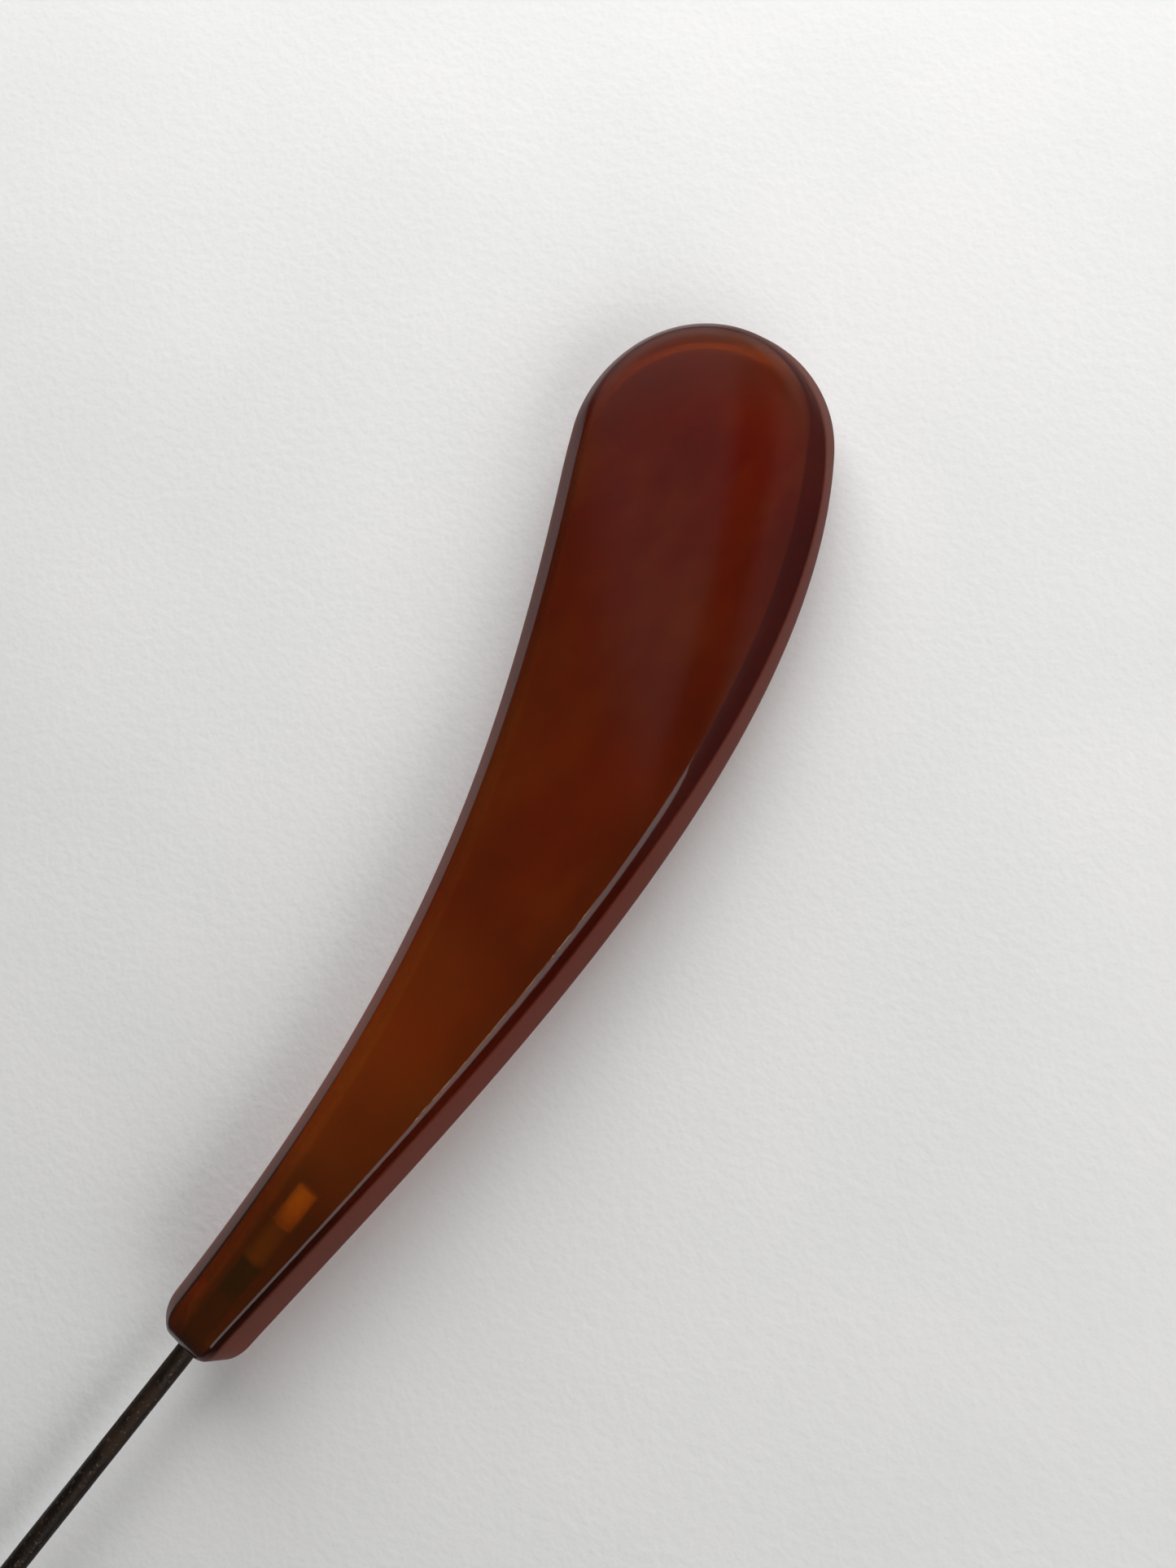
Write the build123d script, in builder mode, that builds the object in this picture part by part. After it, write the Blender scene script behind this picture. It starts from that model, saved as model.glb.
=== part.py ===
from build123d import *

import os

# A hat pin: a curved, club-shaped head of translucent amber-brown plastic, cemented on a steel stem.
#
# Units are millimetres. The origin is on the stem's axis, in the middle of the head's end face.
# +X runs along the stem to its point. +Z is up out of the head's crowned front, and the head lies on
# its flat back.

# Outline of the head, seen from above: a round nose, and two long sides from the nose to the end face.
NOSE_CENTRE = Vector(-57.0, -9.2)
NOSE_RADIUS = 7.7
CONCAVE_ANGLE = 297  # where the concave side leaves the nose, in degrees from +X
CONVEX_ANGLE = 125  # where the convex side leaves it
CONCAVE_LEAD = 18.4  # how far each side's curve keeps the nose's direction
CONVEX_LEAD = 17.7
CONCAVE_ROOT = Vector(0, -2.5)  # where each side meets the end face
CONVEX_ROOT = Vector(0, 2.6)
CONCAVE_BOW = Vector(-24.7, -2.5)
CONVEX_BOW = Vector(-20.2, 4.0)

# Section of the head: a flat back, a gently crowned front, and sides that lean in from the middle.
BACK_Z = -2.6
CROWN_Z = 2.95
CROWN_RADIUS = 39.0
SIDE_LEAN = 0.95
SIDE_HEIGHT = 2.25
FACET_WIDTH = 0.40  # the narrow facet between the front and the side
FACET_DROP = 0.36
BACK_ROUND = 0.45
END_ROUND = 0.75

# The middle of the head, which its crown follows, and the bar that the crown is cut from.
SPINE = [(6.0, 0.4), (-22.0, 0.6), (-42.0, -3.5), (-70.0, -13.5)]
BLANK_HALF_WIDTH = 12.0
BLANK_BACK_Z = 2 * BACK_Z

# Stem, bore and cement.
STEM_RADIUS = 0.6
STEM_SEAT = 5.8  # how deep the stem sits in the head
STEM_SEAT_RADIUS = 0.57  # the seated end is filed to a slight taper
SHANK_LENGTH = 117.0  # the parallel length outside the head
POINT_LENGTH = 10.0
TIP_RADIUS = 0.06
BORE_MOUTH_RADIUS = 0.67  # the bore narrows a little towards its bottom
BORE_BOTTOM_RADIUS = 0.62
BORE_DEPTH = 10.7
PLUG_LENGTH = 2.4  # clear cement at the bottom of the bore
MOUTH_GAP = 0.3  # how far the cement stops short of the head's end face


def nose_point(angle):
    """The point of the nose's circle at an angle from +X."""
    return NOSE_CENTRE + Vector(NOSE_RADIUS, 0).rotate(Axis.Z, angle)


def nose_heading(angle):
    """The way the nose's circle runs at that point, turning from +X to +Y."""
    return Vector(1, 0).rotate(Axis.Z, angle + 90)


def long_edges(face):
    """The edges of a face that run along or around the head, without the one at the end face."""
    return [edge for edge in face.edges() if edge.bounding_box().min.X < -1]


def bore_radius(depth):
    """The bore's radius at a depth from its mouth."""
    return BORE_MOUTH_RADIUS + (BORE_BOTTOM_RADIUS - BORE_MOUTH_RADIUS) * depth / BORE_DEPTH


def bore_corners(from_depth, to_depth):
    """The corners of half the bore's section between two depths, to be turned about the X axis."""
    return [
        (-from_depth, 0),
        (-from_depth, bore_radius(from_depth)),
        (-to_depth, bore_radius(to_depth)),
        (-to_depth, 0),
    ]


# The bar that carries the crown, swept along the middle of the head.
crown_edge_z = CROWN_Z - CROWN_RADIUS + (CROWN_RADIUS**2 - BLANK_HALF_WIDTH**2) ** 0.5

with BuildPart() as crown_bar:
    with BuildLine() as spine:
        Bezier(*SPINE)
    with BuildSketch(Plane(spine.line @ 0, x_dir=(0, 0, 1), z_dir=spine.line % 0)):
        with BuildLine():
            Polyline(
                (crown_edge_z, BLANK_HALF_WIDTH),
                (BLANK_BACK_Z, BLANK_HALF_WIDTH),
                (BLANK_BACK_Z, -BLANK_HALF_WIDTH),
                (crown_edge_z, -BLANK_HALF_WIDTH),
            )
            ThreePointArc(
                (crown_edge_z, -BLANK_HALF_WIDTH),
                (CROWN_Z, 0),
                (crown_edge_z, BLANK_HALF_WIDTH),
            )
        make_face()
    sweep(path=spine.line)

# The head.
concave_join = nose_point(CONCAVE_ANGLE)
convex_join = nose_point(CONVEX_ANGLE)
nose_tip = nose_point((CONCAVE_ANGLE + CONVEX_ANGLE) / 2)

with BuildPart() as head:
    with BuildSketch(Plane.XY.offset(BACK_Z)):
        with BuildLine():
            Bezier(
                CONCAVE_ROOT,
                CONCAVE_BOW,
                concave_join + nose_heading(CONCAVE_ANGLE) * CONCAVE_LEAD,
                concave_join,
            )
            ThreePointArc(concave_join, nose_tip, convex_join)
            Bezier(
                convex_join,
                convex_join - nose_heading(CONVEX_ANGLE) * CONVEX_LEAD,
                CONVEX_BOW,
                CONVEX_ROOT,
            )
            Line(CONVEX_ROOT, CONCAVE_ROOT)
        make_face()
    extrude(amount=CROWN_Z - BACK_Z)
    add(crown_bar.part, mode=Mode.INTERSECT)

    # The sides lean in towards the front and towards the back.
    front = head.faces().sort_by(Axis.Z)[-1]
    chamfer(long_edges(front), SIDE_LEAN, SIDE_HEIGHT, reference=front)
    back = head.faces().sort_by(Axis.Z)[0]
    chamfer(long_edges(back), SIDE_LEAN, SIDE_HEIGHT, reference=back)

    # The facet around the front, and the rounded edge around the back.
    front = head.faces().sort_by(Axis.Z)[-1]
    chamfer(long_edges(front), FACET_WIDTH, FACET_DROP, reference=front)
    fillet(long_edges(head.faces().sort_by(Axis.Z)[0]), BACK_ROUND)

    # The end face, its rounded rim and the bore for the stem.
    fillet(head.faces().sort_by(Axis.X)[-1].edges(), END_ROUND)
    with BuildSketch(Plane.XY):
        with BuildLine():
            Polyline(*bore_corners(0, BORE_DEPTH), close=True)
        make_face()
    revolve(axis=Axis.X, mode=Mode.SUBTRACT)

# The stem: a plain wire with a long, slim point.
point_start = (SHANK_LENGTH, STEM_RADIUS)
tip_shoulder = (SHANK_LENGTH + POINT_LENGTH - TIP_RADIUS, TIP_RADIUS)
tip = (SHANK_LENGTH + POINT_LENGTH, 0)

with BuildPart() as pin_stem:
    with BuildSketch(Plane.XY):
        with BuildLine():
            Polyline(
                (-STEM_SEAT, 0),
                (-STEM_SEAT, STEM_SEAT_RADIUS),
                (0, STEM_RADIUS),
                point_start,
            )
            TangentArc(point_start, tip_shoulder, tangent=(1, 0))
            RadiusArc(tip_shoulder, tip, TIP_RADIUS)
            Line(tip, (-STEM_SEAT, 0))
        make_face()
    revolve(axis=Axis.X)

# The stained cement around the seated end of the stem and just beyond it.
plug_start = BORE_DEPTH - PLUG_LENGTH

with BuildPart() as cement_sleeve:
    with BuildSketch(Plane.XY):
        with BuildLine():
            Polyline(*bore_corners(MOUTH_GAP, plug_start), close=True)
        make_face()
    revolve(axis=Axis.X)
    add(pin_stem.part, mode=Mode.SUBTRACT)

# The clear cement that fills the bottom of the bore.
with BuildPart() as cement_plug:
    with BuildSketch(Plane.XY):
        with BuildLine():
            Polyline(*bore_corners(plug_start, BORE_DEPTH), close=True)
        make_face()
    revolve(axis=Axis.X)

head.part.label = "head"
pin_stem.part.label = "pin_stem"
cement_sleeve.part.label = "cement_sleeve"
cement_plug.part.label = "cement_plug"

os.makedirs("parts", exist_ok=True)
export_step(head.part, "parts/head.step")
export_step(pin_stem.part, "parts/pin_stem.step")
export_step(cement_sleeve.part, "parts/cement_sleeve.step")
export_step(cement_plug.part, "parts/cement_plug.step")
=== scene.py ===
import math

import bmesh
import bpy
from mathutils import Matrix, Vector, noise


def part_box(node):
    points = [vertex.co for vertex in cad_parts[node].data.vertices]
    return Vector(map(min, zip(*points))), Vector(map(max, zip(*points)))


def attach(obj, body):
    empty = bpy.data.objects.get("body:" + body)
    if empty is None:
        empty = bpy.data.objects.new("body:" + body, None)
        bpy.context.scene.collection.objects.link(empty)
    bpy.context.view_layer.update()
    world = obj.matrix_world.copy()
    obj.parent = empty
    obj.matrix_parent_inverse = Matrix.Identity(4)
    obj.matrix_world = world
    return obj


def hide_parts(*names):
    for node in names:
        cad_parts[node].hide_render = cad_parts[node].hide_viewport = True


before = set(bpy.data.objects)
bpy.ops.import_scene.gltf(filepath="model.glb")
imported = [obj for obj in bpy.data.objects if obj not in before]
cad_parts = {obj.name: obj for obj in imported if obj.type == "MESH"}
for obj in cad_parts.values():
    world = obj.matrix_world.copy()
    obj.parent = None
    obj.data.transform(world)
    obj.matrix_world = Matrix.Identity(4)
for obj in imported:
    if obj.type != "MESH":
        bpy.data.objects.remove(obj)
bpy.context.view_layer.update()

MM = 0.001
X_AXIS = (1, 0, 0)
Y_AXIS = (0, 1, 0)
DOWN = (0, 0, -1)

# The places that the CAD frame gives. +X runs along the stem to its point, +Z is up.
BACK_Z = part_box("head")[0].z
CROWN_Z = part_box("head")[1].z
STEM_SEAT_X, STEM_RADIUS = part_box("pin_stem")[0].x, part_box("pin_stem")[1].z
TIP_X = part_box("pin_stem")[1].x
SLEEVE_MOUTH_X, SLEEVE_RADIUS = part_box("cement_sleeve")[1].x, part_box("cement_sleeve")[1].z
PLUG_LOW, PLUG_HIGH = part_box("cement_plug")

# Outline of the head, seen from above: a round nose, and two long sides from it to the end face.
# Each side is a curve from its root on the end face to where it joins the nose, with its two
# handles at the bow and at the lead's length back from the join. Angles are in degrees.
NOSE_CENTRE = Vector((-57.0, -9.2)) * MM
NOSE_RADIUS = 7.7 * MM
NOSE_TIP_ANGLE = 211
CONCAVE = {"root": (0, -2.5), "bow": (-24.7, -2.5), "lead": 18.4, "join": 297, "turn": 1}
CONVEX = {"root": (0, 2.6), "bow": (-20.2, 4.0), "lead": 17.7, "join": 125, "turn": -1}
CURVE_SAMPLES = 3000

# The front's crown across the head, and its fall towards the nose's tip.
CROWN_RADIUS = 39 * MM
NOSE_FALL_RADIUS = 75 * MM

# The lower half of the section: insets from the outline, a rise above the back, and how far each
# edge's rounding reaches.
BACK_FACET_INSET = 0.83 * MM
BACK_FACET_RISE = 0.35 * MM
BACK_INSET = 1.15 * MM
BACK_MARGIN = 0.4 * MM
SIDE_CUT = 0.35 * MM
BACK_CUT = 0.15 * MM
FRONT_MARGINS = (0.9 * MM, 0.5 * MM)  # loops on the front, inside its edge
BEND_STEPS = 6
SIDE_STEPS = 8


def measures(**values):
    """The same measures in metres."""
    return {name: value * MM for name, value in values.items()}


# The upper half of the section. Front, facet and shoulder are the insets of its three edges, the
# drops are measured from one edge to the next, and crease, bend and turn say how far each edge's
# rounding reaches.
TIP_SHAPE = measures(front=1.75, facet=1.2, facet_drop=0.22, shoulder=0.82, shoulder_drop=0.4,
                     crease=0.38, bend=0.18, turn=0.3)
CONVEX_NOSE = measures(front=1.6, facet=1.34, facet_drop=0.2, shoulder=0.4, shoulder_drop=0.88,
                       crease=0.13, bend=0.14, turn=0.2)
CONVEX_SHAPE = measures(front=1.45, facet=1.13, facet_drop=0.17, shoulder=0.66, shoulder_drop=0.5,
                        crease=0.03, bend=0.16, turn=0.2)
CONVEX_END = measures(front=1.32, facet=1.16, facet_drop=0.085, shoulder=0.8, shoulder_drop=0.38,
                      crease=0.03, bend=0.06, turn=0.2)
CONCAVE_NOSE = measures(front=1.2, facet=0.82, facet_drop=0.42, shoulder=0.2, shoulder_drop=0.74,
                        crease=0.12, bend=0.25, turn=0.4)
CONCAVE_SHAPE = measures(front=1.12, facet=0.76, facet_drop=0.48, shoulder=0.2, shoulder_drop=0.84,
                         crease=0.05, bend=0.25, turn=0.4)
CONCAVE_END = measures(front=1.1, facet=0.76, facet_drop=0.42, shoulder=0.25, shoulder_drop=0.78,
                       crease=0.24, bend=0.25, turn=0.4)

# Where along the head each section is reached, in mm, from the nose to the end face.
CONVEX_STATIONS = (
    (-62.5, TIP_SHAPE), (-55, CONVEX_NOSE), (-31, CONVEX_SHAPE), (-3, CONVEX_END),
)
CONCAVE_STATIONS = (
    (-62.5, TIP_SHAPE), (-55, CONCAVE_NOSE), (-32, CONCAVE_SHAPE), (-3, CONCAVE_END),
)
LONG_STATIONS = 220
NOSE_STATIONS = 36
ACROSS = 28

# The end face, with its rounded rim, and the bore that holds the cement.
END_ROUND = 1.1 * MM
END_LENGTH = 1.8 * MM  # the rounding starts this far from the end face
END_STEPS = 12
END_CENTRE_Y = 0.05 * MM
END_HALF_WIDTH = 2.6 * MM
END_RING_SHARES = (0.3, 0.65, 1)
MOUTH_BREAK = 0.1 * MM
MOUTH_STEP = 0.03 * MM
BORE_STEPS = 12
MERGE_DISTANCE = 0.0005 * MM

# The stem: its seated end, its tapered point and the shallow pits in its surface.
STEM_SEAT_RADIUS = 0.57 * MM
POINT_LENGTH = 10 * MM
TAPER_LENGTH = 9.96 * MM
POINT_RADIUS = 0.04 * MM
PIT_DEPTH = 0.006 * MM
PIT_SIZE = 0.35 * MM
STEM_STEPS = 300
POINT_STEPS = 24
STEM_SEGMENTS = 32

CEMENT_SEGMENTS = 48
WETTING = 0.012 * MM  # how far the cement reaches into the walls that it wets

# Colours of the plastic, and where the ones along the head fade in, in mm from the end face. The tip's
# and the concave side's glows are painted glow.
# painted glow: the nose's thin tip is coloured brighter orange, as if lit through
TIP_GLOW = (1.0, 0.33, 0.05)
NOSE_RED = (0.66, 0.105, 0.018)
TIP_FADE = (-64.5, -57)
# painted glow on the concave side of the nose
CONCAVE_GLOW = (1.0, 0.3, 0.035)
CONCAVE_FADE = (-16.5, -9.5)  # across the head, from the concave side of the nose
CONCAVE_SHARE = 0.6
LENGTHWISE = (
    ((-58, -44), (0.66, 0.185, 0.022)),  # the waist's brown
    ((-45, -24), (0.90, 0.42, 0.035)),  # amber
    ((-14, -9), (0.58, 0.22, 0.022)),  # round the bore
)
DEEP_RED = (0.44, 0.065, 0.012)
DEEP_SIZE = 12 * MM
DEEP_SHARE = 0.55
WISP_AMBER = (0.95, 0.38, 0.03)
WISP_SIZE = 5 * MM
WISP_SHARE = 0.5
BAND_PAINTED_SHADE = (0.13, 0.012, 0.006)  # painted shade on the facets between the front and the walls, set by how steeply they stand
BAND_SHADE_SHARE = 0.8
# painted shade and sheen: upright walls are coloured a dim pinkish red by their steepness
WALL_PAINTED_SHADE_SHEEN = (0.33, 0.075, 0.042)
WALL_SHADE_SHEEN_SHARE = 0.9
ABSORBED_TO = (0.83, 0.58, 0.2)
ABSORPTION_DENSITY = 540
PLASTIC_IOR = 1.52
COAT_ROUGHNESS = 0.02

# How steeply a face stands, as its normal's height: below the first value it counts as upright,
# above the second as level.
LEVEL_SPAN = (0.84, 0.97)
WALL_SPAN = (0.5, 0.68)
POLISH_SPAN = (0.62, 0.85)

# What the walls have, and then the front.
COAT_WEIGHTS = (0.08, 0.85)
ROUGHNESSES = (0.5, 0.24)
TRANSMISSIONS = (0.7, 0.96)

# Cements, steel and paper.
OLIVE = (0.26, 0.25, 0.02)
NEAR_BLACK = (0.002, 0.001, 0.001)
BROWN = (0.10, 0.025, 0.008)
BLACK_START = (-6.0 * MM, -5.6 * MM)
BLACK_END = (-4.1 * MM, -2.9 * MM)
STAINED_ROUGHNESS = 0.6
YELLOW = (1.0, 1.0, 0.02)
STRAW = (0.92, 0.88, 0.02)
PALE_ROUGHNESSES = (0.45, 0.6)
PALE_PATCH_SIZE = 0.4 * MM
DARK_STEEL = (0.018, 0.013, 0.011)
RUSTY_STEEL = (0.042, 0.025, 0.017)
STEEL_FLECK = (0.10, 0.07, 0.05)
STEEL_METALLIC = 0.6
STEEL_ROUGHNESSES = (0.42, 0.7)
RUST_SIZE = 0.9 * MM
FLECK_SIZE = 0.22 * MM
GRAIN_SIZE = 0.16 * MM
GRAIN_HEIGHT = 0.01 * MM
PAPER_WHITE = (0.83, 0.825, 0.82)
PAPER_SHADE = (0.80, 0.80, 0.795)
PAPER_ROUGHNESS = 0.8
PAPER_TONE_SIZE = 14 * MM
TOOTH_SIZE = 0.6 * MM
TOOTH_HEIGHT = 0.06 * MM
TOOTH_STRENGTH = 0.42

# The room: what a ray sees by its direction, as shares of a white background.
FLOOR_HALF = 3
FLOOR_GAP = 0.02 * MM
ACROSS_GAP = (-0.625, 0.78, 0)  # the ceiling's glow has a dark gap that lies across this
LEFT_OF_GAP = (0.10, 0.02)
RIGHT_OF_GAP = (0.15, 0.23)
BEYOND_NOSE = (-0.02, -0.12)
CEILING_GLOW = 0.17
BRIGHT_SIDE = (0.3, -0.95, 0)
BRIGHT_SPAN = (0.0, 0.4)
BELOW_SPAN = (0.0, 0.2)
BRIGHT_GLOW = 0.22
PAPER_GLOW = 0.2
EVEN_GLOW = 0.05
SEEN_BY_CAMERA = 0.78

HEAD_AIM = (-0.03, 0, 0)
KEY_AIM = (-0.045, 0.005, 0)
WARM = (1.0, 0.78, 0.5)

CAMERA_PLACE = Vector((-38.0, 13.3, 72.9)) * MM
CAMERA_TILT = -12
CAMERA_TURN = 128.5
FOCAL_LENGTH = 30.2
CLIP_START = 0.001


# ---- shapes ----

def new_mesh(name, vertices, faces):
    """An object with a smooth-shaded mesh, in the scene."""
    mesh = bpy.data.meshes.new(name)
    mesh.from_pydata([tuple(v) for v in vertices], [], faces)
    mesh.validate()
    mesh.polygons.foreach_set("use_smooth", [True] * len(mesh.polygons))
    piece = bpy.data.objects.new(name, mesh)
    bpy.context.scene.collection.objects.link(piece)
    return piece


def tube(rings, count, first=0):
    """Faces that join rings of so many vertices each, of which the first starts at an index."""
    faces = []
    for i in range(rings - 1):
        start = first + i * count
        for k in range(count):
            a, b = start + k, start + (k + 1) % count
            faces.append((a, b, b + count, a + count))
    return faces


def heading(angle):
    return Vector((math.cos(angle), math.sin(angle)))


def side_curve(root, bow, lead, join, turn):
    """Close points along one long side, with how far along it each one lies."""
    d = NOSE_CENTRE + NOSE_RADIUS * heading(join)
    c = d + lead * MM * heading(join + turn * math.pi / 2)
    a, b = Vector(root) * MM, Vector(bow) * MM
    points = []
    for k in range(CURVE_SAMPLES + 1):
        t = k / CURVE_SAMPLES
        points.append((1 - t) ** 3 * a + 3 * (1 - t) ** 2 * t * b + 3 * (1 - t) * t * t * c + t**3 * d)
    run = [0.0]
    for before, after in zip(points, points[1:]):
        run.append(run[-1] + (after - before).length)
    return points, run


def side_of_head(root, bow, lead, join, turn):
    """One side of the outline from the end face to the nose's tip, as (point, inward normal) pairs."""
    join, tip = math.radians(join), math.radians(NOSE_TIP_ANGLE)
    fine, run = side_curve(root, bow, lead, join, turn)
    side = []
    k = 0
    for i in range(LONG_STATIONS):
        target = END_LENGTH + (run[-1] - END_LENGTH) * i / LONG_STATIONS
        while run[k + 1] < target:
            k += 1
        ahead = (fine[k + 1] - fine[k]).normalized()
        side.append((fine[k], Vector((ahead.y, -ahead.x)) * turn))
    for i in range(NOSE_STATIONS + 1):
        angle = join + (tip - join) * i / NOSE_STATIONS
        side.append((NOSE_CENTRE + NOSE_RADIUS * heading(angle), -heading(angle)))
    return side


def front_height(point, middle):
    """The height of the crowned front over a point, given the middle of the head beside it."""
    across = (point - middle).length
    ahead = max(0.0, (point - NOSE_CENTRE) @ heading(math.radians(NOSE_TIP_ANGLE)))
    return CROWN_Z - across**2 / (2 * CROWN_RADIUS) - ahead**2 / (2 * NOSE_FALL_RADIUS)


def rounded(before, corner, after, cut, steps=4):
    """Points of a small curve that replaces a corner of the section."""
    a = corner + (before - corner).normalized() * cut
    b = corner + (after - corner).normalized() * cut
    points = []
    for k in range(steps + 1):
        t = k / steps
        points.append((1 - t) ** 2 * a + 2 * t * (1 - t) * corner + t * t * b)
    return points


def side_section(point, inward, middle, shape):
    """The side of the head beside an outline point, from its front's edge down to its back."""
    def on_front(inset):
        return Vector((inset, front_height(point + inward * inset, middle)))

    front_edge = on_front(shape["front"])
    facet = Vector((shape["facet"], front_edge.y - shape["facet_drop"]))
    shoulder = Vector((shape["shoulder"], facet.y - shape["shoulder_drop"]))
    widest = Vector((0, 0))
    back_facet = Vector((BACK_FACET_INSET, BACK_Z + BACK_FACET_RISE))
    back_edge = Vector((BACK_INSET, BACK_Z))
    on_back = Vector((2 * BACK_INSET, BACK_Z))
    section = [on_front(shape["front"] + margin) for margin in FRONT_MARGINS]
    section += rounded(section[-1], front_edge, facet, shape["crease"], BEND_STEPS)
    section += rounded(front_edge, facet, shoulder, shape["bend"], BEND_STEPS)
    section += rounded(facet, shoulder, widest, shape["turn"], BEND_STEPS)
    section += [shoulder.lerp(widest, 0.5)]
    section += rounded(shoulder, widest, back_facet, SIDE_CUT, SIDE_STEPS)
    section += [widest.lerp(back_facet, share) for share in (0.5, 0.75)]
    section += rounded(widest, back_facet, back_edge, BACK_CUT)
    section += rounded(back_facet, back_edge, on_back, BACK_CUT)
    section.append(Vector((BACK_INSET + BACK_MARGIN, BACK_Z)))
    return [(point + inward * s.x).to_3d() + Vector((0, 0, s.y)) for s in section]


def shape_at(x, stations):
    """The section's measures at a place along the head."""
    for (start, a), (stop, b) in zip(stations, stations[1:]):
        if x < stop * MM:
            break
    share = min(1, max(0, (x / MM - start) / (stop - start)))
    share = share * share * (3 - 2 * share)
    return {name: a[name] + (b[name] - a[name]) * share for name in a}


def head_loops():
    """Closed loops round the head, from its end face's rim to the nose's tip."""
    loops = []
    for (p, p_in), (q, q_in) in zip(side_of_head(**CONCAVE), side_of_head(**CONVEX)):
        middle = (p + q) / 2
        concave = side_section(p, p_in, middle, shape_at(middle.x, CONCAVE_STATIONS))
        convex = side_section(q, q_in, middle, shape_at(middle.x, CONVEX_STATIONS))
        front, back = [], []
        for k in range(1, ACROSS):
            share = k / ACROSS
            on_front = concave[0].xy.lerp(convex[0].xy, share)
            front.append(on_front.to_3d() + Vector((0, 0, front_height(on_front, middle))))
            back.append(convex[-1].lerp(concave[-1], share))
        loops.append(front + convex + back + concave[::-1])
    return loops


def bore_radius(x):
    """The radius of the tapered bore at a place along it."""
    return SLEEVE_RADIUS + (PLUG_HIGH.z - SLEEVE_RADIUS) * x / PLUG_LOW.x


def end_rings(rim):
    """Rings that round the head's rim over into its end face."""
    centre = Vector((0, END_CENTRE_Y, (CROWN_Z + BACK_Z) / 2))
    rings = []
    for k in range(1, END_STEPS + 1):
        turn = math.radians(90 * k / END_STEPS)
        shrink = 1 - END_ROUND / END_HALF_WIDTH * (1 - math.cos(turn))
        x = -END_LENGTH * (1 - math.sin(turn))
        rings.append([Vector((x, *(centre + (v - centre) * shrink).yz)) for v in rim])
    return rings


def bore_rings(flat):
    """Rings from the flat of the end face in to the bore's mouth, and down to its bottom."""
    def ring(x, radius):
        return [Vector((x, *(v.yz.normalized() * radius))) for v in flat]

    mouth = ring(0, SLEEVE_RADIUS + MOUTH_BREAK)
    rings = [[a.lerp(b, share) for a, b in zip(flat, mouth)] for share in END_RING_SHARES]
    rings.append(ring(-MOUTH_STEP, SLEEVE_RADIUS + MOUTH_STEP))
    for k in range(BORE_STEPS + 1):
        x = -MOUTH_BREAK + (PLUG_LOW.x + MOUTH_BREAK) * k / BORE_STEPS
        rings.append(ring(x, bore_radius(x)))
    return rings


def clean(piece):
    """Merges vertices that coincide, removes slivers and turns every face outward."""
    shape = bmesh.new()
    shape.from_mesh(piece.data)
    bmesh.ops.remove_doubles(shape, verts=shape.verts, dist=MERGE_DISTANCE)
    bmesh.ops.dissolve_degenerate(shape, edges=shape.edges, dist=MERGE_DISTANCE)
    bmesh.ops.recalc_face_normals(shape, faces=shape.faces)
    shape.to_mesh(piece.data)
    shape.free()


def make_head():
    """The head in one closed mesh, from the bottom of its bore out and round to the nose's tip."""
    loops = head_loops()
    ends = end_rings(loops[0])
    ends += bore_rings(ends[-1])
    loops = ends[::-1] + loops
    count = len(loops[0])
    vertices = [v for loop in loops for v in loop]
    faces = tube(len(loops), count)
    bottom = len(vertices)
    vertices.append(Vector((PLUG_LOW.x, 0, 0)))
    faces += [(bottom, (j + 1) % count, j) for j in range(count)]
    piece = new_mesh("head_body", vertices, faces)
    clean(piece)
    return piece


def turned(name, profile, segments, ripple=None):
    """A closed piece of revolution about the X axis, from (x, radius) pairs that start and end on it."""
    vertices = [Vector((profile[0][0], 0, 0))]
    for x, radius in profile[1:-1]:
        for k in range(segments):
            turn = 2 * math.pi * k / segments
            direction = Vector((0, math.cos(turn), math.sin(turn)))
            r = radius - (ripple(Vector((x, 0, 0)) + direction * radius) if ripple else 0)
            vertices.append(Vector((x, 0, 0)) + direction * r)
    vertices.append(Vector((profile[-1][0], 0, 0)))
    last = len(vertices) - 1
    start = last - segments
    faces = [(0, 1 + (k + 1) % segments, 1 + k) for k in range(segments)]
    faces += tube(len(profile) - 2, segments, first=1)
    faces += [(last, start + k, start + (k + 1) % segments) for k in range(segments)]
    return new_mesh(name, vertices, faces)


def pitting(point):
    """How far below the wire's surface a point of the stem lies."""
    return PIT_DEPTH * (1 + noise.noise(point / PIT_SIZE))


def stem_profile():
    """The stem's (x, radius) pairs, from its seat in the cement to its point."""
    point_start = TIP_X - POINT_LENGTH
    profile = [(STEM_SEAT_X, 0), (STEM_SEAT_X, STEM_SEAT_RADIUS), (0.0, STEM_RADIUS)]
    for k in range(1, STEM_STEPS + 1):
        profile.append((point_start * k / STEM_STEPS, STEM_RADIUS))
    for k in range(1, POINT_STEPS + 1):
        share = k / POINT_STEPS
        radius = STEM_RADIUS - (STEM_RADIUS - POINT_RADIUS) * share**2
        profile.append((point_start + TAPER_LENGTH * share, radius))
    profile.append((TIP_X, 0))
    return profile


def on_bore(x):
    """An (x, radius) pair where cement wets the bore's wall."""
    return x, bore_radius(x) + WETTING


# ---- materials ----

def new_material(name):
    material = bpy.data.materials.new(name)
    material.use_nodes = True
    nodes = material.node_tree.nodes
    return material, nodes, material.node_tree.links, nodes["Principled BSDF"]


def feed(links, value, socket):
    """Links another node's output to a socket, or sets it to a number or a colour."""
    if isinstance(value, bpy.types.NodeSocket):
        links.new(value, socket)
    else:
        socket.default_value = value if isinstance(value, (int, float)) else (*value, 1)


def position(nodes):
    """The point's own coordinates, in metres."""
    return nodes.new("ShaderNodeTexCoord").outputs["Object"]


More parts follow.
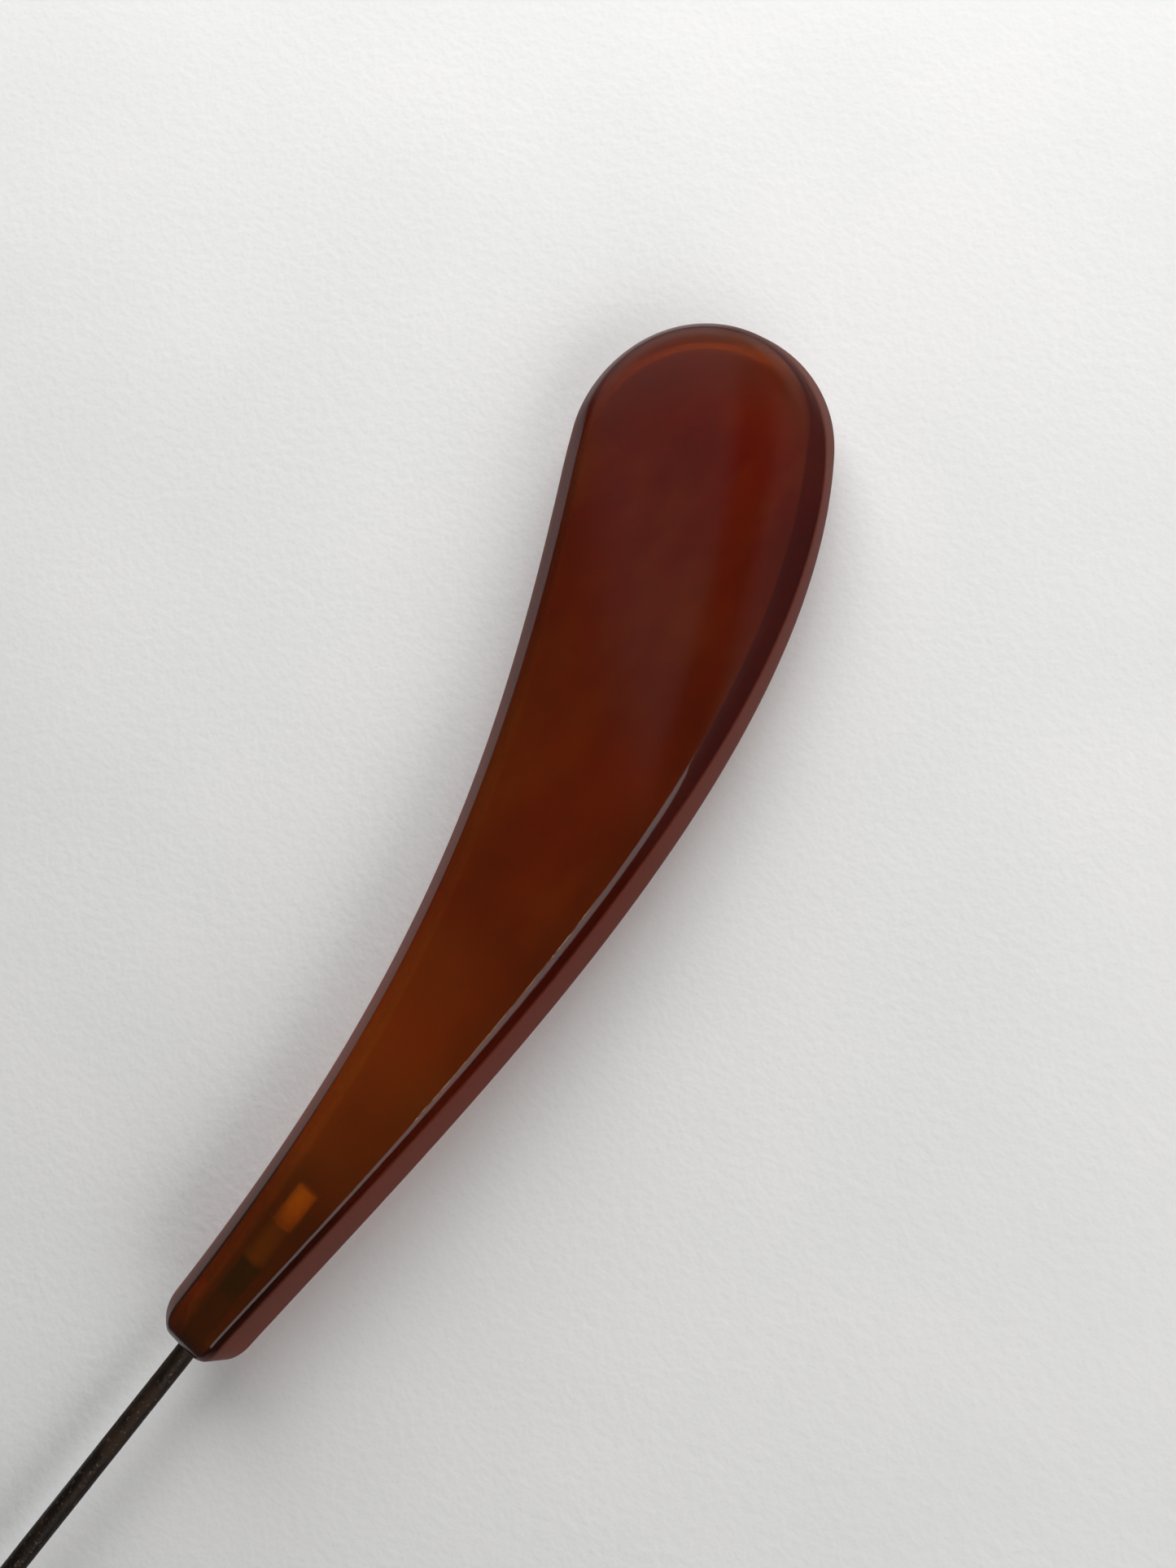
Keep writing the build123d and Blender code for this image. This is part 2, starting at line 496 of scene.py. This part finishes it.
def spanned(nodes, links, value, low, high):
    """0 to 1 as a value goes from low to high."""
    span = nodes.new("ShaderNodeMapRange")
    span.inputs["From Min"].default_value = low
    span.inputs["From Max"].default_value = high
    links.new(value, span.inputs["Value"])
    return span


def ranged(nodes, links, value, low, high):
    """A value from 0 to 1 turned into one from low to high."""
    span = nodes.new("ShaderNodeMapRange")
    span.inputs["To Min"].default_value = low
    span.inputs["To Max"].default_value = high
    links.new(value, span.inputs["Value"])
    return span.outputs["Result"]


def along(nodes, links, place, direction, start, end):
    """0 to 1, softly, between two distances of a place along a direction."""
    dot = nodes.new("ShaderNodeVectorMath")
    dot.operation = "DOT_PRODUCT"
    dot.inputs[1].default_value = direction
    links.new(place, dot.inputs[0])
    span = spanned(nodes, links, dot.outputs["Value"], start, end)
    span.interpolation_type = "SMOOTHSTEP"
    return span.outputs["Result"]


def faded(nodes, links, axis, start, end):
    """0 to 1, softly, between two distances in metres along an axis of the piece."""
    return along(nodes, links, position(nodes), axis, start, end)


def cloud(nodes, links, size, detail=3.0, stretch=(1, 1, 1), rough=0.5, low=0.35, high=0.65):
    """A soft random pattern from 0 to 1 with patches of about the given size in metres."""
    mapping = nodes.new("ShaderNodeMapping")
    mapping.inputs["Scale"].default_value = [k / size for k in stretch]
    links.new(position(nodes), mapping.inputs["Vector"])
    pattern = nodes.new("ShaderNodeTexNoise")
    pattern.inputs["Scale"].default_value = 1.0
    pattern.inputs["Detail"].default_value = detail
    pattern.inputs["Roughness"].default_value = rough
    links.new(mapping.outputs["Vector"], pattern.inputs["Vector"])
    return spanned(nodes, links, pattern.outputs["Fac"], low, high).outputs["Result"]


def mixed(nodes, links, factor, a, b):
    """A blend of two colours, each a colour or another node's output, by a factor."""
    mix = nodes.new("ShaderNodeMix")
    mix.data_type = "RGBA"
    for socket, value in ((mix.inputs[0], factor), (mix.inputs[6], a), (mix.inputs[7], b)):
        feed(links, value, socket)
    return mix.outputs[2]


def upward(nodes, links, low, high):
    """0 where a surface stands upright, 1 where it faces up or down."""
    split = nodes.new("ShaderNodeSeparateXYZ")
    links.new(nodes.new("ShaderNodeTexCoord").outputs["Normal"], split.inputs[0])
    size = nodes.new("ShaderNodeMath")
    size.operation = "ABSOLUTE"
    links.new(split.outputs["Z"], size.inputs[0])
    return spanned(nodes, links, size.outputs[0], low, high).outputs["Result"]


def bumped(nodes, links, shader, height, distance, strength=1.0):
    """Raises and lowers the shader's surface by a pattern."""
    bump = nodes.new("ShaderNodeBump")
    bump.inputs["Distance"].default_value = distance
    bump.inputs["Strength"].default_value = strength
    links.new(height, bump.inputs["Height"])
    links.new(bump.outputs["Normal"], shader.inputs["Normal"])


def depth_colour(nodes, links):
    """The plastic's colour from place to place, with painted glow at the nose, before the painted shade
    and sheen of its edges.
    """
    start, end = (x * MM for x in TIP_FADE)
    # painted glow at the nose's tip and on its concave side
    base = mixed(nodes, links, faded(nodes, links, X_AXIS, start, end), TIP_GLOW, NOSE_RED)
    start, end = (y * MM for y in CONCAVE_FADE)
    warm = ranged(nodes, links, faded(nodes, links, Y_AXIS, start, end), CONCAVE_SHARE, 0)
    base = mixed(nodes, links, warm, base, CONCAVE_GLOW)
    for (start, end), colour in LENGTHWISE:
        reached = faded(nodes, links, X_AXIS, start * MM, end * MM)
        base = mixed(nodes, links, reached, base, colour)
    deep = cloud(nodes, links, DEEP_SIZE, 2.0, rough=0.4)
    base = mixed(nodes, links, ranged(nodes, links, deep, 0, DEEP_SHARE), base, DEEP_RED)
    wisp = cloud(nodes, links, WISP_SIZE, 3.0, stretch=(0.6, 1, 1), low=0.5, high=0.72)
    return mixed(nodes, links, ranged(nodes, links, wisp, 0, WISP_SHARE), base, WISP_AMBER)


def amber_plastic():
    material, nodes, links, shader = new_material("amber_plastic")
    shader.inputs["IOR"].default_value = PLASTIC_IOR
    shader.inputs["Coat Roughness"].default_value = COAT_ROUGHNESS
    shader.inputs["Coat IOR"].default_value = PLASTIC_IOR
    shader.inputs["Specular Tint"].default_value = (0, 0, 0, 1)
    base = depth_colour(nodes, links)
    # painted shade: slopes between the front and the walls are coloured dark red by their steepness
    level = upward(nodes, links, *LEVEL_SPAN)
    base = mixed(nodes, links, ranged(nodes, links, level, BAND_SHADE_SHARE, 0), base, BAND_PAINTED_SHADE)
    # painted shade and sheen on the upright walls, by how steeply they stand
    wall = upward(nodes, links, *WALL_SPAN)
    base = mixed(nodes, links, ranged(nodes, links, wall, WALL_SHADE_SHEEN_SHARE, 0), base, WALL_PAINTED_SHADE_SHEEN)
    links.new(base, shader.inputs["Base Color"])
    polish = upward(nodes, links, *POLISH_SPAN)
    links.new(ranged(nodes, links, polish, *COAT_WEIGHTS), shader.inputs["Coat Weight"])
    links.new(ranged(nodes, links, wall, *ROUGHNESSES), shader.inputs["Roughness"])
    links.new(ranged(nodes, links, wall, *TRANSMISSIONS), shader.inputs["Transmission Weight"])
    absorb = nodes.new("ShaderNodeVolumeAbsorption")
    absorb.inputs["Color"].default_value = (*ABSORBED_TO, 1)
    absorb.inputs["Density"].default_value = ABSORPTION_DENSITY
    links.new(absorb.outputs["Volume"], nodes["Material Output"].inputs["Volume"])
    return material


def stained_cement():
    material, nodes, links, shader = new_material("stained_cement")
    shader.inputs["Roughness"].default_value = STAINED_ROUGHNESS
    base = mixed(nodes, links, faded(nodes, links, X_AXIS, *BLACK_START), OLIVE, NEAR_BLACK)
    base = mixed(nodes, links, faded(nodes, links, X_AXIS, *BLACK_END), base, BROWN)
    links.new(base, shader.inputs["Base Color"])
    return material


def pale_cement():
    material, nodes, links, shader = new_material("pale_cement")
    patch = cloud(nodes, links, PALE_PATCH_SIZE)
    links.new(mixed(nodes, links, patch, YELLOW, STRAW), shader.inputs["Base Color"])
    links.new(ranged(nodes, links, patch, *PALE_ROUGHNESSES), shader.inputs["Roughness"])
    return material


def patina():
    material, nodes, links, shader = new_material("patina")
    shader.inputs["Metallic"].default_value = STEEL_METALLIC
    rust = cloud(nodes, links, RUST_SIZE, 4.0, stretch=(0.4, 1, 1), low=0.42, high=0.62)
    base = mixed(nodes, links, rust, DARK_STEEL, RUSTY_STEEL)
    fleck = cloud(nodes, links, FLECK_SIZE, 2.0, low=0.62, high=0.7)
    base = mixed(nodes, links, fleck, base, STEEL_FLECK)
    links.new(base, shader.inputs["Base Color"])
    links.new(ranged(nodes, links, rust, *STEEL_ROUGHNESSES), shader.inputs["Roughness"])
    bumped(nodes, links, shader, cloud(nodes, links, GRAIN_SIZE, 3.0), GRAIN_HEIGHT)
    return material


def paper():
    material, nodes, links, shader = new_material("paper")
    shader.inputs["Roughness"].default_value = PAPER_ROUGHNESS
    tone = cloud(nodes, links, PAPER_TONE_SIZE, 2.0)
    links.new(mixed(nodes, links, tone, PAPER_WHITE, PAPER_SHADE), shader.inputs["Base Color"])
    tooth = cloud(nodes, links, TOOTH_SIZE, 4.0, low=0.2, high=0.8)
    bumped(nodes, links, shader, tooth, TOOTH_HEIGHT, TOOTH_STRENGTH)
    return material


# ---- pieces ----

head = make_head()
head.data.materials.append(amber_plastic())
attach(head, "root")
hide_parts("head")

stem = turned("stem_wire", stem_profile(), STEM_SEGMENTS, pitting)
stem.data.materials.append(patina())
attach(stem, "root")
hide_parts("pin_stem")

sleeve_profile = [
    (PLUG_HIGH.x, 0),
    on_bore(PLUG_HIGH.x),
    on_bore(STEM_SEAT_X),
    on_bore(SLEEVE_MOUTH_X),
    (SLEEVE_MOUTH_X, STEM_RADIUS),
    (STEM_SEAT_X, STEM_SEAT_RADIUS),
    (STEM_SEAT_X, 0),
]
sleeve = turned("stained_cement", sleeve_profile, CEMENT_SEGMENTS)
sleeve.data.materials.append(stained_cement())
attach(sleeve, "root")
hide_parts("cement_sleeve")

plug_bottom = PLUG_LOW.x - WETTING
plug_profile = [
    (plug_bottom, 0),
    (plug_bottom, bore_radius(PLUG_LOW.x) + WETTING),
    on_bore(PLUG_HIGH.x),
    (PLUG_HIGH.x, 0),
]
plug = turned("clear_cement", plug_profile, CEMENT_SEGMENTS)
plug.data.materials.append(pale_cement())
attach(plug, "root")
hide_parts("cement_plug")

# ---- floor, room, lights and camera ----

corners = ((-1, -1), (1, -1), (1, 1), (-1, 1))
floor_points = [(x * FLOOR_HALF, y * FLOOR_HALF, BACK_Z - FLOOR_GAP) for x, y in corners]
floor = new_mesh("floor", floor_points, [(0, 1, 2, 3)])
floor.data.materials.append(paper())
floor.visible_glossy = False


def room_glow(nodes, links):
    """How brightly the room shines from each direction."""
    towards = nodes.new("ShaderNodeTexCoord").outputs["Generated"]

    def facing(direction, start, end):
        return along(nodes, links, towards, direction, start, end)

    def combined(operation, a, b):
        node = nodes.new("ShaderNodeMath")
        node.operation = operation
        feed(links, a, node.inputs[0])
        feed(links, b, node.inputs[1])
        return node.outputs[0]

    beside_gap = combined("ADD", facing(ACROSS_GAP, *LEFT_OF_GAP), facing(ACROSS_GAP, *RIGHT_OF_GAP))
    ceiling = combined("MULTIPLY", beside_gap, facing(X_AXIS, *BEYOND_NOSE))
    bright = combined("MULTIPLY", facing(BRIGHT_SIDE, *BRIGHT_SPAN), BRIGHT_GLOW)
    below = combined("MULTIPLY", facing(DOWN, *BELOW_SPAN), combined("ADD", bright, PAPER_GLOW))
    above = combined("MULTIPLY", ceiling, CEILING_GLOW)
    return combined("ADD", above, combined("ADD", below, EVEN_GLOW))


def studio():
    """A world that the camera sees as even light grey, and everything else as the room."""
    world = bpy.data.worlds.new("studio")
    world.use_nodes = True
    nodes, links = world.node_tree.nodes, world.node_tree.links
    background = nodes["Background"]
    background.inputs["Color"].default_value = (1, 1, 1, 1)
    seen = nodes.new("ShaderNodeMix")
    links.new(nodes.new("ShaderNodeLightPath").outputs["Is Camera Ray"], seen.inputs[0])
    links.new(room_glow(nodes, links), seen.inputs[2])
    seen.inputs[3].default_value = SEEN_BY_CAMERA
    links.new(seen.outputs[0], background.inputs["Strength"])
    return world


bpy.context.scene.world = studio()


def soft_light(name, size, radiance, azimuth, elevation, distance, aim=HEAD_AIM,
               mirrored=True, lit=True):
    """A panel of a given radiance, placed round the aim by azimuth from +X and elevation, in degrees."""
    lamp = bpy.data.lights.new(name, "AREA")
    lamp.shape = "RECTANGLE"
    lamp.size, lamp.size_y = size
    lamp.energy = radiance * math.pi * size[0] * size[1]
    item = bpy.data.objects.new(name, lamp)
    a, e = math.radians(azimuth), math.radians(elevation)
    outward = Vector((math.cos(a) * math.cos(e), math.sin(a) * math.cos(e), math.sin(e)))
    item.location = Vector(aim) + outward * distance
    item.rotation_euler = (-outward).to_track_quat("-Z", "Y").to_euler()
    item.visible_glossy = mirrored
    item.visible_diffuse = item.visible_transmission = lit
    bpy.context.scene.collection.objects.link(item)
    return item


soft_light("key", size=(0.25, 0.17), radiance=4.0, azimuth=217, elevation=34, distance=0.21,
           aim=KEY_AIM, mirrored=False)
soft_light("right_fill", size=(0.2, 0.12), radiance=1.7, azimuth=100, elevation=34, distance=0.2,
           mirrored=False)
soft_light("side_window", size=(0.5, 0.2), radiance=1.6, azimuth=72, elevation=40, distance=0.5)
soft_light("far_wall", size=(1.0, 0.35), radiance=0.13, azimuth=215, elevation=22, distance=0.6)
crease_spark = soft_light("crease_spark", size=(0.16, 0.03), radiance=36, azimuth=68, elevation=64,
                          distance=0.5, lit=False)
crease_spark.data.color = WARM

lens = bpy.data.cameras.new("photo_camera")
lens.lens = FOCAL_LENGTH
lens.clip_start = CLIP_START
camera = bpy.data.objects.new("photo_camera", lens)
bpy.context.scene.collection.objects.link(camera)
camera.matrix_world = (
    Matrix.Translation(CAMERA_PLACE)
    @ Matrix.Rotation(math.radians(CAMERA_TILT), 4, "X")
    @ Matrix.Rotation(math.radians(CAMERA_TURN), 4, "Z")
)
bpy.context.scene.camera = camera
bpy.context.scene.view_settings.view_transform = "Standard"
